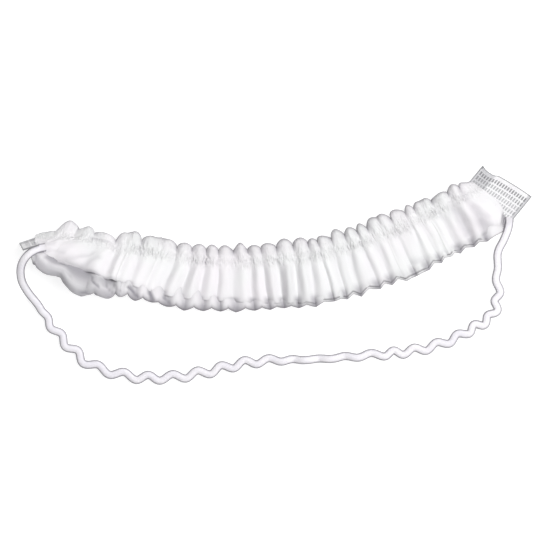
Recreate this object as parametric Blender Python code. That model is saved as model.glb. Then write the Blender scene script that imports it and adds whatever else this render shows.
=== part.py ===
"""Disposable strip beard cover with one head elastic, lying on a table.

Metres, +Z up, with the origin under the middle of the strip. One sheet of nonwoven cloth is
folded like an accordion into four plies and runs along X. Its head edge, where the gathered
puffs stand, faces +Y and its foot edge faces -Y. At the left the strip is twisted, so that its
head edge lies on the table and its foot edge stands up.
"""
import math
from collections import namedtuple

import bmesh
import bpy
from mathutils import Matrix, Vector

# Strip of folded cloth
STRIP_LENGTH = 0.2070        # along X, from weld to weld
STRIP_WIDTH = 0.0241         # from the creases of the head edge to the notches of the foot edge
END_RISE = 0.0360            # how far the right end lies beyond the lowest stretch, along Y
END_TWIST = math.radians(72)
CLOTH_WALL = 0.0010
PLY_PITCH = 0.0021           # from one ply to the next where the pleats lie open
FLUTE_HEIGHT = 0.0024        # from crease to ridge on the front ply
PUFF_REACH = 0.0036          # how far a full puff stands past the creases
LOBE_REACH = 0.0022          # how far a full lobe hangs past the notches
SPLAY_REACH = 0.0060         # how far the back plies slide past the front one at the most
HEAD_END_SHARE = 0.97        # where the head edge meets the right weld, as a share of the strip

# Pinched ends, where the plies run into the welds
PINCH_PITCH = 0.00076
PINCH_WALL = 0.0005
LEFT_PINCH = 0.0060          # length of the pinched stretch at the left
RIGHT_PINCH = 0.0170

# Welded tabs
TAB_THICKNESS = 0.0012
LEFT_TAB_LENGTH = 0.0080
RIGHT_TAB_HEAD_LENGTH = 0.0080
RIGHT_TAB_FOOT_LENGTH = 0.0154
RIGHT_TAB_CURL = 0.0012      # how far the head corner of the right tab lifts off the table
LEFT_TAB_HEADING = math.radians(202)
RIGHT_TAB_HEADING = math.radians(56)
FIT_GAP = 0.0003             # left open between neighbouring solids

# Head elastic
ELASTIC_DIAMETER = 0.0036
ELASTIC_POINT_SPACING = 2.0  # in diameters

PROFILE_FRONT_LEVEL = 3.0    # level of the front ply in PROFILE
RIDGE_SHAPE = 0.7            # below 1 rounds the ridges and sharpens the creases
FLUTE_STEPS = (0.0, 0.2, 0.5, 0.8)

# The strip's stations from the left weld to the right one. along is a share of STRIP_LENGTH,
# rise of END_RISE, twist of END_TWIST, loft of PLY_PITCH and splay of SPLAY_REACH, and edge
# says how far down the front ply reaches, as a share of half the width.
Station = namedtuple("Station", "along rise twist loft splay edge")
STATIONS = (
    Station(0.00, 0.49, 1.00, 1.20, 0.30, 0.80),
    Station(0.05, 0.43, 0.84, 1.40, 0.70, 0.80),
    Station(0.10, 0.34, 0.53, 1.50, 1.00, 0.80),
    Station(0.15, 0.23, 0.52, 1.35, 0.65, 0.80),
    Station(0.20, 0.18, 0.47, 1.20, 0.20, 0.78),
    Station(0.30, 0.05, 0.23, 1.00, 0.10, 0.76),
    Station(0.40, -0.01, 0.07, 1.00, 0.00, 0.78),
    Station(0.50, 0.00, 0.00, 1.00, 0.00, 0.90),
    Station(0.60, 0.05, 0.00, 1.00, 0.00, 0.96),
    Station(0.70, 0.20, 0.00, 1.00, 0.00, 0.97),
    Station(0.80, 0.41, 0.00, 0.97, 0.00, 0.97),
    Station(0.90, 0.69, 0.00, 0.92, 0.00, 0.97),
    Station(1.00, 1.00, 0.00, 0.90, 0.00, 0.97),
)

# The flutes from left to right. head and foot are a flute's widths along the two edges, in
# mean flute widths, and puff is a share of PUFF_REACH. dip is how deep the crease on its right
# cuts between two puffs, 1 for all the way. lobe is a share of LOBE_REACH, for the lobe below
# that crease, and notch is how deep the flute's own notch cuts between two lobes.
Flute = namedtuple("Flute", "head foot puff dip lobe notch")
FLUTES = (
    Flute(1.15, 0.35, 0.00, 0.0, 0.20, 1.0),
    Flute(1.15, 0.70, 1.00, 1.0, 0.30, 1.0),
    Flute(1.10, 2.60, 0.50, 1.0, 1.70, 1.0),
    Flute(1.60, 1.40, 0.65, 1.0, 1.00, 1.0),
    Flute(1.10, 0.85, 1.00, 0.2, 1.00, 1.0),
    Flute(0.75, 1.10, 1.00, 1.0, 0.80, 1.0),
    Flute(1.20, 1.00, 0.60, 0.2, 0.40, 1.0),
    Flute(1.25, 1.05, 0.65, 1.0, 0.40, 1.0),
    Flute(1.05, 1.05, 0.50, 1.0, 0.80, 1.0),
    Flute(1.15, 1.20, 0.55, 1.0, 0.60, 1.0),
    Flute(0.95, 1.05, 0.60, 1.0, 0.60, 1.0),
    Flute(1.05, 0.90, 0.60, 1.0, 0.80, 1.0),
    Flute(1.10, 1.20, 0.90, 1.0, 0.60, 1.0),
    Flute(0.95, 1.00, 0.50, 1.0, 0.60, 1.0),
    Flute(1.05, 0.95, 0.60, 1.0, 0.40, 1.0),
    Flute(1.25, 0.90, 0.95, 1.0, 0.60, 1.0),
    Flute(1.20, 1.10, 0.80, 1.0, 0.80, 1.0),
    Flute(0.80, 1.05, 0.45, 1.0, 0.40, 1.0),
    Flute(1.00, 0.75, 0.55, 1.0, 0.75, 0.6),
    Flute(1.00, 0.95, 0.95, 1.0, 1.10, 1.0),
    Flute(0.90, 1.20, 0.75, 1.0, 0.80, 1.0),
    Flute(0.80, 0.70, 0.80, 1.0, 0.85, 1.0),
    Flute(0.90, 0.90, 1.00, 0.2, 1.10, 1.0),
    Flute(0.80, 0.70, 1.00, 1.0, 0.90, 0.1),
    Flute(1.05, 0.75, 0.85, 1.0, 0.80, 0.1),
    Flute(0.65, 0.80, 0.75, 1.0, 0.70, 1.0),
    Flute(0.65, 0.70, 0.60, 0.0, 0.40, 1.0),
    Flute(0.55, 0.55, 0.60, 1.0, 0.70, 1.0),
    Flute(1.15, 0.90, 0.60, 1.0, 0.60, 1.0),
    Flute(0.85, 0.85, 0.95, 1.0, 0.60, 1.0),
    Flute(0.85, 1.80, 0.60, 1.0, 0.00, 1.0),
)

# The folded sheet in cross-section, from the free edge of the front ply to that of the back
# ply. across is a share of half the width, positive towards the head edge, level is a ply
# count off the back ply, ripple a share of FLUTE_HEIGHT, and puff, lobe and splay say how much
# of the flute's own puff or lobe, or of the station's splay, is added.
Bend = namedtuple("Bend", "across level ripple puff lobe splay")
FREE_EDGE = Bend(-1.00, 3.00, 1.10, 0.00, 0.00, 0.00)
PROFILE = (
    FREE_EDGE,
    Bend(-0.40, 3.10, 1.00, 0.00, 0.00, 0.00),
    Bend(0.15, 3.10, 0.90, 0.00, 0.00, 0.00),
    Bend(0.52, 2.80, 0.50, 0.00, 0.00, 0.00),
    Bend(0.78, 3.00, 0.80, 0.30, 0.00, 0.00),
    Bend(0.94, 2.95, 0.80, 0.85, 0.00, 0.00),
    Bend(1.00, 2.50, 0.60, 1.00, 0.00, 0.00),
    Bend(0.94, 2.05, 0.50, 0.85, 0.00, 0.00),
    Bend(0.60, 1.95, 0.45, 0.20, 0.00, 0.10),
    Bend(-0.40, 2.00, 0.80, 0.00, 0.00, 0.50),
    Bend(-0.94, 1.95, 0.80, 0.00, 0.85, 1.00),
    Bend(-1.00, 1.50, 0.70, 0.00, 1.00, 1.00),
    Bend(-0.94, 1.05, 0.60, 0.00, 0.85, 1.00),
    Bend(-0.40, 1.00, 0.55, 0.00, 0.00, 0.70),
    Bend(0.50, 1.00, 0.45, 0.00, 0.00, 0.40),
    Bend(0.86, 0.95, 0.40, 0.00, 0.00, 0.30),
    Bend(0.92, 0.50, 0.35, 0.00, 0.00, 0.30),
    Bend(0.86, 0.05, 0.30, 0.00, 0.00, 0.30),
    Bend(0.30, 0.00, 0.30, 0.00, 0.00, 0.50),
    Bend(-0.40, 0.00, 0.30, 0.00, 0.00, 0.70),
    Bend(-0.85, 0.00, 0.30, 0.00, 0.00, 0.80),
)

# The head elastic's route, chosen by hand: off the raised foot corner of the left tab, down to
# the table, round in a wide loop and up to the foot corner of the right tab.
ELASTIC_ROUTE = (
    (-0.1080, -0.0080, 0.0225),
    (-0.1105, -0.0090, 0.0222),
    (-0.1126, -0.0111, 0.0198),
    (-0.1135, -0.0147, 0.0152),
    (-0.1125, -0.0192, 0.0100),
    (-0.1098, -0.0242, 0.0055),
    (-0.1067, -0.0296, 0.0027),
    (-0.1035, -0.0350, 0.0019),
    (-0.0985, -0.0422, 0.0019),
    (-0.0918, -0.0496, 0.0019),
    (-0.0837, -0.0566, 0.0019),
    (-0.0734, -0.0604, 0.0019),
    (-0.0630, -0.0624, 0.0019),
    (-0.0518, -0.0629, 0.0019),
    (-0.0401, -0.0618, 0.0019),
    (-0.0284, -0.0597, 0.0019),
    (-0.0158, -0.0566, 0.0019),
    (-0.0023, -0.0550, 0.0019),
    (0.0113, -0.0548, 0.0019),
    (0.0248, -0.0541, 0.0019),
    (0.0383, -0.0530, 0.0019),
    (0.0518, -0.0519, 0.0019),
    (0.0630, -0.0505, 0.0019),
    (0.0734, -0.0480, 0.0019),
    (0.0824, -0.0444, 0.0019),
    (0.0891, -0.0406, 0.0019),
    (0.0954, -0.0369, 0.0019),
    (0.0993, -0.0318, 0.0019),
    (0.1004, -0.0255, 0.0019),
    (0.1004, -0.0188, 0.0019),
    (0.1001, -0.0116, 0.0019),
    (0.1010, -0.0053, 0.0019),
    (0.1035, 0.0001, 0.0019),
    (0.1049, 0.0037, 0.0019),
)


def clear_scene():
    for old in list(bpy.data.objects):
        bpy.data.objects.remove(old, do_unlink=True)


def mix(low, high, share):
    return low + (high - low) * share


def smooth_step(share):
    share = min(max(share, 0.0), 1.0)
    return share * share * (3.0 - 2.0 * share)


def slope_at(rows, index, column):
    """Slope of a column at one row, from the rows on both sides of it."""
    before = rows[max(index - 1, 0)]
    after = rows[min(index + 1, len(rows) - 1)]
    return (getattr(after, column) - getattr(before, column)) / (after.along - before.along)


def read_station(along, column):
    """A column of STATIONS at any place along the strip, on a smooth curve."""
    index = 0
    while index < len(STATIONS) - 2 and along > STATIONS[index + 1].along:
        index += 1
    start = STATIONS[index]
    end = STATIONS[index + 1]
    reach = end.along - start.along
    share = (along - start.along) / reach
    ease = smooth_step(share)
    leave = slope_at(STATIONS, index, column) * reach * share * (1.0 - share) ** 2
    arrive = slope_at(STATIONS, index + 1, column) * reach * share ** 2 * (1.0 - share)
    return mix(getattr(start, column), getattr(end, column), ease) + leave - arrive


def spine_point(along):
    return Vector((along * STRIP_LENGTH, read_station(along, "rise") * END_RISE, 0.0))


def spine_direction(along):
    step = 0.01
    low = max(along - step, 0.0)
    high = min(along + step, 1.0)
    return (spine_point(high) - spine_point(low)).normalized()


def head_side(along):
    """Level direction across the strip, towards its head edge."""
    forward = spine_direction(along)
    return Vector((-forward.y, forward.x, 0.0))


def edge_shares(column):
    """Where the creases between the flutes meet one edge, from 0 to 1."""
    widths = [getattr(flute, column) for flute in FLUTES]
    shares = [0.0]
    for width in widths:
        shares.append(shares[-1] + width / sum(widths))
    return shares


def pinch_at(progress):
    """0 where the plies are pinched into a weld, 1 where they lie open."""
    from_left = progress * STRIP_LENGTH / LEFT_PINCH
    from_right = (1.0 - progress) * STRIP_LENGTH / RIGHT_PINCH
    return smooth_step(min(from_left, from_right))


def ply_pitch(along, pinch):
    return mix(PINCH_PITCH, PLY_PITCH * read_station(along, "loft"), pinch)


class Section:
    """One cut across the strip, along a ridge, a flank or a crease of a flute."""

    def __init__(self, head_share, foot_share, puff, lobe, ridge):
        head_along = head_share * HEAD_END_SHARE
        along = (head_along + foot_share) / 2
        pinch = pinch_at((head_share + foot_share) / 2)
        twist = read_station(along, "twist") * END_TWIST
        self.pitch = ply_pitch(along, pinch)
        self.wall = mix(PINCH_WALL, CLOTH_WALL, pinch)
        self.splay = read_station(along, "splay") * SPLAY_REACH * pinch
        self.edge = read_station(along, "edge")
        self.puff = puff * PUFF_REACH * pinch
        self.lobe = lobe * LOBE_REACH * pinch
        self.ripple = (ridge - 0.5) * FLUTE_HEIGHT * pinch
        level_half = STRIP_WIDTH / 2 * math.cos(twist)
        upright_half = Vector((0.0, 0.0, STRIP_WIDTH / 2 * math.sin(twist)))
        head = spine_point(head_along) + head_side(head_along) * level_half - upright_half
        foot = spine_point(foot_share) - head_side(foot_share) * level_half + upright_half
        self.half = (head - foot).length / 2
        self.to_head = (head - foot).normalized()
        self.to_front = spine_direction(along).cross(self.to_head).normalized()
        fullest = self.flat_outline(PUFF_REACH * pinch, -FLUTE_HEIGHT * pinch / 2)
        lowest = min(self.to_head.z * spot.x + self.to_front.z * spot.y for spot in fullest)
        lift = Vector((0.0, 0.0, -lowest))
        self.head = head + lift
        self.foot = foot + lift
        self.middle = (self.head + self.foot) / 2

    def flat_outline(self, puff, ripple):
        """The wall's closed outline: one face of the folded sheet, then back along the other.

        Its points are distances from the front ply's middle, to the head edge and to the front.
        """
        line = []
        for bend in PROFILE:
            share = self.edge if bend is FREE_EDGE else 1.0
            across = bend.across * share * self.half + bend.puff * puff
            across -= bend.lobe * self.lobe + bend.splay * self.splay
            outward = (bend.level - PROFILE_FRONT_LEVEL) * self.pitch + bend.ripple * ripple
            line.append(Vector((across, outward)))
        normals = mitred_normals(line)
        face = [point + normal * self.wall / 2 for point, normal in zip(line, normals)]
        back = [point - normal * self.wall / 2 for point, normal in zip(line, normals)]
        return face + back[::-1]

    def points(self):
        """The wall's closed outline in space."""
        outline = self.flat_outline(self.puff, self.ripple)
        return [self.middle + self.to_head * spot.x + self.to_front * spot.y for spot in outline]


def mitred_normals(line):
    """Normals of an open flat line, stretched at its corners so that the wall stays even."""
    sides = []
    for start, end in zip(line, line[1:]):
        run = (end - start).normalized()
        sides.append(Vector((-run.y, run.x)))
    normals = [sides[0]]
    for before, after in zip(sides, sides[1:]):
        middle = (before + after).normalized()
        normals.append(middle / middle.dot(after))
    normals.append(sides[-1])
    return normals


def strip_sections():
    """All cuts across the strip, a few to each flute and one more at the right weld."""
    head_shares = edge_shares("head")
    foot_shares = edge_shares("foot")
    sections = []
    left_dip = 1.0
    left_lobe = 0.0
    for index, flute in enumerate(FLUTES):
        for step in FLUTE_STEPS:
            ridge = math.sin(math.pi * step) ** RIDGE_SHAPE
            crease = mix(1.0 - left_dip, 1.0 - flute.dip, step)
            sections.append(Section(
                mix(head_shares[index], head_shares[index + 1], step),
                mix(foot_shares[index], foot_shares[index + 1], step),
                flute.puff * mix(ridge, 1.0, crease),
                mix(left_lobe, flute.lobe, step) * (1.0 - flute.notch * ridge),
                ridge,
            ))
        left_dip = flute.dip
        left_lobe = flute.lobe
    sections.append(Section(1.0, 1.0, 0.0, 0.0, 0.0))
    return sections


def finish_mesh(mesh_builder, name, material):
    bmesh.ops.recalc_face_normals(mesh_builder, faces=mesh_builder.faces)
    bmesh.ops.triangulate(mesh_builder, faces=mesh_builder.faces)
    mesh = bpy.data.meshes.new(name)
    mesh_builder.to_mesh(mesh)
    mesh_builder.free()
    mesh.materials.append(material)
    piece = bpy.data.objects.new(name, mesh)
    bpy.context.scene.collection.objects.link(piece)
    return piece


def loft_rings(mesh_builder, rings):
    """Closed body through rings of equally many points, capped at both ends."""
    loops = [[mesh_builder.verts.new(point) for point in ring] for ring in rings]
    count = len(loops[0])
    for before, after in zip(loops, loops[1:]):
        for index in range(count):
            following = (index + 1) % count
            mesh_builder.faces.new(
                (before[index], before[following], after[following], after[index]))
    mesh_builder.faces.new(loops[0])
    mesh_builder.faces.new(loops[-1][::-1])


def make_cover(sections, material):
    mesh_builder = bmesh.new()
    loft_rings(mesh_builder, [section.points() for section in sections])
    return finish_mesh(mesh_builder, "cover", material)


def tab_ring(inner, outer, normal):
    """Four corners of a tab's lengthways cut."""
    half = normal * TAB_THICKNESS / 2
    return [inner + half, outer + half, outer - half, inner - half]


def make_tab(name, section, away, heading, lengths, depth, curl, material):
    """A welded end: a flat plate that carries on from the strip's end section.

    away points out of the strip's end, heading is the way the tab runs, lengths are its head
    and foot sides, depth is how far behind the front ply it lies, and curl lifts its corner.
    """
    run = Vector((math.cos(heading), math.sin(heading), 0.0))
    base = -section.to_front * depth + away * FIT_GAP
    rings = []
    for share in (0.0, 1.0 / 3.0, 2.0 / 3.0, 1.0):
        inner = section.head.lerp(section.foot, share) + base
        outer = inner + run * mix(lengths[0], lengths[1], share)
        outer += section.to_front * curl * max(1.0 - 3.0 * share, 0.0)
        rings.append(tab_ring(inner, outer, section.to_front))
    mesh_builder = bmesh.new()
    loft_rings(mesh_builder, rings)
    return finish_mesh(mesh_builder, name, material)


def make_left_tab(section, material):
    away = section.to_front.cross(section.to_head)
    depth = PINCH_PITCH * PROFILE_FRONT_LEVEL / 2
    lengths = (LEFT_TAB_LENGTH, LEFT_TAB_LENGTH)
    return make_tab("left_weld_tab", section, away, LEFT_TAB_HEADING, lengths, depth, 0.0, material)


def make_right_tab(section, material):
    away = section.to_head.cross(section.to_front)
    depth = section.middle.z - TAB_THICKNESS / 2
    lengths = (RIGHT_TAB_HEAD_LENGTH, RIGHT_TAB_FOOT_LENGTH)
    return make_tab("right_weld_tab", section, away, RIGHT_TAB_HEADING, lengths, depth,
                    RIGHT_TAB_CURL, material)


def smooth_route(route, spacing):
    """Evenly spaced points on a smooth curve through the route's own points."""
    knots = [Vector(point) for point in route]
    fine = []
    steps = 24
    for index in range(len(knots) - 1):
        start = knots[index]
        end = knots[index + 1]
        leave = (end - knots[max(index - 1, 0)]) / 2
        arrive = (knots[min(index + 2, len(knots) - 1)] - start) / 2
        for step in range(steps):
            share = step / steps
            point = start.lerp(end, smooth_step(share))
            point += leave * share * (1.0 - share) ** 2
            point -= arrive * share ** 2 * (1.0 - share)
            fine.append(point)
    fine.append(knots[-1])
    lengths = [0.0]
    for before, after in zip(fine, fine[1:]):
        lengths.append(lengths[-1] + (after - before).length)
    count = round(lengths[-1] / spacing)
    points = []
    place = 0
    for number in range(count + 1):
        wanted = lengths[-1] * number / count
        while place < len(lengths) - 2 and lengths[place + 1] < wanted:
            place += 1
        share = (wanted - lengths[place]) / (lengths[place + 1] - lengths[place])
        points.append(fine[place].lerp(fine[place + 1], share))
    return points


def make_elastic(material):
    points = smooth_route(ELASTIC_ROUTE, ELASTIC_DIAMETER * ELASTIC_POINT_SPACING)
    curve = bpy.data.curves.new("head_elastic", "CURVE")
    curve.dimensions = "3D"
    curve.bevel_depth = ELASTIC_DIAMETER / 2
    curve.bevel_resolution = 2
    curve.use_fill_caps = True
    spline = curve.splines.new("POLY")
    spline.points.add(len(points) - 1)
    for spot, point in zip(spline.points, points):
        spot.co = (point.x, point.y, point.z, 1.0)
    curve.materials.append(material)
    piece = bpy.data.objects.new("head_elastic", curve)
    bpy.context.scene.collection.objects.link(piece)
    return piece


def make_material(name, colour, roughness):
    material = bpy.data.materials.new(name)
    material.use_nodes = True
    shader = material.node_tree.nodes["Principled BSDF"]
    shader.inputs["Base Color"].default_value = (*colour, 1.0)
    shader.inputs["Roughness"].default_value = roughness
    shader.inputs["Metallic"].default_value = 0.0
    return material


def centre_on_origin(pieces):
    """Move the pieces so that the bottom centre of their common box is the origin."""
    corners = [vertex.co for piece in pieces for vertex in piece.data.vertices]
    low = [min(corner[axis] for corner in corners) for axis in range(3)]
    high = [max(corner[axis] for corner in corners) for axis in range(3)]
    shift = Matrix.Translation((-(low[0] + high[0]) / 2, -(low[1] + high[1]) / 2, -low[2]))
    for piece in pieces:
        piece.data.transform(shift)


def build():
    clear_scene()
    cloth = make_material("nonwoven cloth", (0.86, 0.86, 0.88), 0.75)
    weld = make_material("welded cloth", (0.70, 0.70, 0.73), 0.50)
    rubber = make_material("covered elastic", (0.90, 0.90, 0.92), 0.80)
    sections = strip_sections()
    cover = make_cover(sections, cloth)
    left_tab = make_left_tab(sections[0], weld)
    right_tab = make_right_tab(sections[-1], weld)
    centre_on_origin((cover, left_tab, right_tab))
    make_elastic(rubber)


build()
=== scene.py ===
"""Looks of a disposable strip beard cover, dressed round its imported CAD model.

Metres, +Z up, in the CAD model's frame. The cover is one sheet of spunbond cloth, folded like
an accordion into four plies and gathered into flutes. Its ends are welded flat into tabs with
rows of small dashes, and one crimped head elastic joins them in a loose loop.
"""
import math
from collections import namedtuple

import bmesh
import bpy
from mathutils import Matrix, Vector, noise

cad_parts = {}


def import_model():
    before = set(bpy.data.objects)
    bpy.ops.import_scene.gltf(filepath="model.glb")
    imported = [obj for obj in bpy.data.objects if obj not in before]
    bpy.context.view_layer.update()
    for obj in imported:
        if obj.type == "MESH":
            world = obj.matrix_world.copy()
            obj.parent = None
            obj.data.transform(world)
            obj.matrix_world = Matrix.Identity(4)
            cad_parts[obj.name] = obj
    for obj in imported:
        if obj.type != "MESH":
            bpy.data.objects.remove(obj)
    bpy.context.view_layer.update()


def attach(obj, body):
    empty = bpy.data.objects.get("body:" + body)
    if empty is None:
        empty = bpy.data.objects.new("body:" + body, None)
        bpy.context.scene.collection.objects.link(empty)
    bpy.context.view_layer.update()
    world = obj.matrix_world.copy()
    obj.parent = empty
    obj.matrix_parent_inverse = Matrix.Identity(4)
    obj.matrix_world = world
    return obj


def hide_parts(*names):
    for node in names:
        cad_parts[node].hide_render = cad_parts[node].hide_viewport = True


UP = Vector((0.0, 0.0, 1.0))

# Camera, straight above the cover
FRAME_WIDTH = 0.2475  # of what the picture shows, at CLOTH_LEVEL
CLOTH_LEVEL = 0.008
CAMERA_CENTRE = (0.0, -0.01654)
CAMERA_LENS = 500.0  # mm, long, so that tall places hardly lean outwards
SENSOR_WIDTH = 36.0  # mm
FAR_CLIP = 20.0

# Light and table. Each lamp is a soft disk that points at the origin: name, place, size, power.
WORLD_LIGHT = 0.31
LAMPS = (
    ("key_light", (0.55, 0.05, 1.00), 0.90, 10.4),
    ("top_light", (-0.15, 0.45, 1.10), 1.20, 4.3),
)
TABLE_SIZE = 4.0
TABLE_LEVEL = -0.0001
TABLE_GLOW = 0.74

# The strip, as in the CAD model
STRIP_START = Vector((-0.1064, -0.0174, 0.0))
STRIP_LENGTH = 0.2070
STRIP_WIDTH = 0.0241
END_RISE = 0.0360
END_TWIST = math.radians(72)
PLY_PITCH = 0.0021
FLUTE_HEIGHT = 0.0024
PUFF_REACH = 0.0036
LOBE_REACH = 0.0022
SPLAY_REACH = 0.0060
HEAD_END_SHARE = 0.97
LEFT_PINCH = 0.0060
FRONT_LEVEL = 3.0

# Finer shape of the cloth
SHEET_THICKNESS = 0.0003
RIGHT_PINCH = 0.0110
PINCH_PITCH = 0.00015  # from ply to ply at the welds
SPINE_STEP = 0.01  # to either side when the strip's direction is read
FLUTE_CUTS = 14
CUT_CROWDING = 0.5  # of the cuts towards the creases
MEAN_FLUTE = 0.0067
MAP_STRETCH = 1.6  # for the cloth that the flutes take up
ROUND_RIDGE = 0.55  # powers of a wave
POINTED_RIDGE = 1.15
ROUND_LOBE = 0.7
LEAST_CRISP = 0.1  # share of the sharp ridge that shows anywhere
EDGE_CRISP = (0.1, 0.7)  # more of it at the foot edge, left and right
FREE_CRISP = 0.7  # share of that at the free edge
LOBE_DEPTH = 0.6  # how nearly the flutes keep their full height at the lobes
FREE_DEPTH = 0.4  # and at the free edge
GATHER_LINE = 0.55  # where the hidden elastic runs, as a share of half the width
PUFF_GATHER = 0.4  # how crinkled the puffs look, beside the cloth over it
FAN_CENTRE = Vector((-0.1060, -0.0035))
FAN_IN = (0.0, 0.008)  # metres from there, for the folds that fan out of the left weld
FAN_OUT = (0.01275, 0.02125)
SWELL_REACH = 0.0042
EDGE_OUT = 0.0010
BOW_SKEW = 0.58  # below 1 moves the bow's top to the foot edge
CORNER_CURL = Vector((0.0, -0.0052, -0.0030))
FLAP_SPREAD = Vector((-0.0026, -0.0004, 0.0))
FLAP_LIFT = Vector((0.0, 0.0018, 0.0))
BACK_LIFT = 0.5  # how far the lowest ply follows that
NICK_PLACE = 0.0166  # of a small nick in the foot edge
NICK_WIDTH = 0.0014
NICK_DEPTH = 0.0037
HEAD_CORNER = Vector((-0.0023, -0.0024, 0.0))
FOOT_CORNER = Vector((-0.0007, 0.0, 0.0))
RIGHT_CORNER = Vector((-0.0037, 0.0030, 0.0))
RIGHT_CORNER_IN = (0.98, 0.02)
CREASE_DEPTH = 0.0007

# What comes in and fades out along the strip: how much of it there is at the most, then where
# it comes in and where it fades out, each by its start and its reach in shares of the length
Part = namedtuple("Part", "most start grow end fade", defaults=(-1.0, 1.0, 2.0, 1.0))
PARTS = {
    "far_left": Part(1.0, end=0.13, fade=0.12),  # the under plies show as a crumpled flap
    "corners": Part(1.0, end=0.0, fade=0.045),
    "curl": Part(1.0, 0.0, 0.02, 0.02, 0.06),
    "hanging": Part(1.0, end=0.04, fade=0.08),
    "spread": Part(1.0, end=0.05, fade=0.07),
    "lift": Part(1.0, end=0.02, fade=0.05),
    "drop": Part(0.0030, end=0.04, fade=0.10),  # the strip's upper edge gives way
    "sag": Part(0.0035, 0.0, 0.03, 0.04, 0.18),  # the free edge sinks onto the other plies
    "lean": Part(0.0028, 0.06, 0.10, 0.32, 0.15),  # the front ply's flutes lean to the left
    "crisp": Part(1.0, 0.20, 0.40),
    "zigzag": Part(1.0, 0.20, 0.50),  # the foot edge turns from round lobes to a zigzag
    "straight": Part(1.0, 0.20, 0.05, 0.52, 0.12),  # the free edge looks straight from above
    "hem": Part(1.0, 0.52, 0.12),  # the free edge has the foot edge's lobes
    # greys the cloth near its right end in patches, a painted shade
    "end_patch": Part(1.0, 0.89, 0.04),
    "bow": Part(0.0024, 0.90, 0.08),  # the cloth's right end bows out over the tab
}

# Starts and reaches in the cross-section, by how far across, level or puffed a place is
DROP_BELOW = (0.35, 0.65)  # towards the foot edge
NICK_BELOW = (0.10, 0.50)
# BLOB_BELOW places the painted shade in blobs above the lobes
BLOB_BELOW = (0.60, 0.30)
LEAN_ABOVE = (-0.78, 1.30)  # towards the head edge
# These place painted shade: on the body's flanks, behind the front ply, in the notches and on the puffs'
# rims
BODY_ABOVE = (0.30, 0.30)
BODY_LEVEL = (2.0, 0.5)
BEHIND_LEVEL = (2.0, 0.6)
NOTCH_PUFF = (0.2, 0.6)
RIM_PUFF = (0.1, 0.7)

# Unevenness: the size of its grains along and across the cloth, its swing about its middle
# value, a seed and that value
Uneven = namedtuple("Uneven", "along across swing seed middle", defaults=(0.0, 0.0))
STREAKS = Uneven(0.0014, 0.0150, 0.00016)
SIDE_FOLDS = Uneven(0.0030, 0.0170, 0.00045, 17.0)
CRINKLES = Uneven(0.0012, 0.0020, 0.00090, 3.0)
PUFF_CRINKLES = Uneven(0.0018, 0.0026, 0.00045, 7.0)
GATHER_SPREAD = Uneven(0.0090, 1.0, 0.0012, 13.0, 0.0024)
GATHER_DEPTH = Uneven(0.0120, 1.0, 0.6, 15.0, 0.75)
WANDER = Uneven(0.0110, 0.0120, 0.0009, 11.0)
FAN_FOLDS = Uneven(0.19, 0.030, 0.00075, 5.0)  # by angle and distance
CREASE_X = Uneven(0.0040, 0.0040, 0.0012, 31.0)
CREASE_Y = Uneven(0.0040, 0.0040, 0.0012, 33.0)
# These three vary painted shade: on the under plies, near the right end and on the flanks away from the
# light
SHADE_BLOTCHES = Uneven(0.0042, 0.0034, 0.9, 9.0, 0.86)
SHADE_PATCHES = Uneven(0.0035, 0.0100, 0.9, 25.0, 0.50)
FLANK_GREYS = Uneven(0.0050, 0.0060, 0.5, 27.0, 0.8)
TAB_WAVES = Uneven(0.006, 0.006, 0.00016, 21.0)

# Painted shade of the cloth: greys laid into its colour along its folds, in its valleys and creases,
# behind the front ply and on flanks away from the light
CREST_WIDTH = 0.00090  # of the painted dark line along a fold, a painted shade where the cloth turns away
HEM_LINE_WIDTH = 0.00036
SHADE_WIDTH = 0.0016  # of the softer shade beside it
TURN_WIDTH = 0.0012  # of the painted dark line, a painted shade where the cloth turns down along its head edge
TURN_LINE = 0.90
LEAST_SHADE = 0.35  # share of the shade that is left on top of a ridge
LEAST_BEHIND = 0.25  # and of the under plies' painted shade
LOBE_PALER = 0.8  # how much paler the painted lines are along the lobes
FLAP_PALER = 0.3  # and the under plies there, at the left
HEM_PALER = 0.6  # and at the right
VALLEY_SHADE_BLOTCH = 0.36
SHADE_BLOTCH_LIMIT = 1.1
BLOB_POWER = 1.2
NOTCH_GREY = 0.85
FRONT_CREASE_GREY = 0.7
FLAP_CREASE_GREY = 1.5
FULL_PUFF = 0.4  # from here on a puff's rim has its full painted shade
FULL_RELIEF = 0.5  # flutes deeper than this have the full painted shade in their valleys
FLANK_START = 8.0  # how fast a flank's painted shade comes in at the flute's left
FLANK_FALL = 1.15  # and how fast it fades towards its right
CLOTH_LAYERS = ("crest", "shade", "valley", "inside", "gather")
# Each painted shade's layer, strength and colour, in the order in which they are laid over the white
CLOTH_PAINTED_SHADES = (
    ("valley", 0.20, (0.60, 0.57, 0.62)),
    ("shade", 0.52, (0.45, 0.43, 0.46)),
    ("inside", 0.80, (0.28, 0.27, 0.30)),
    ("crest", 0.85, (0.18, 0.17, 0.19)),
)

# Finish that the three materials share
FIBRE_HEIGHT = 0.0001
WRINKLE_HEIGHT = 0.0020
TRANSLUCENT = {"Subsurface_Radius": (1.0, 1.0, 1.0), "Subsurface_Scale": 0.001}

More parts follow.
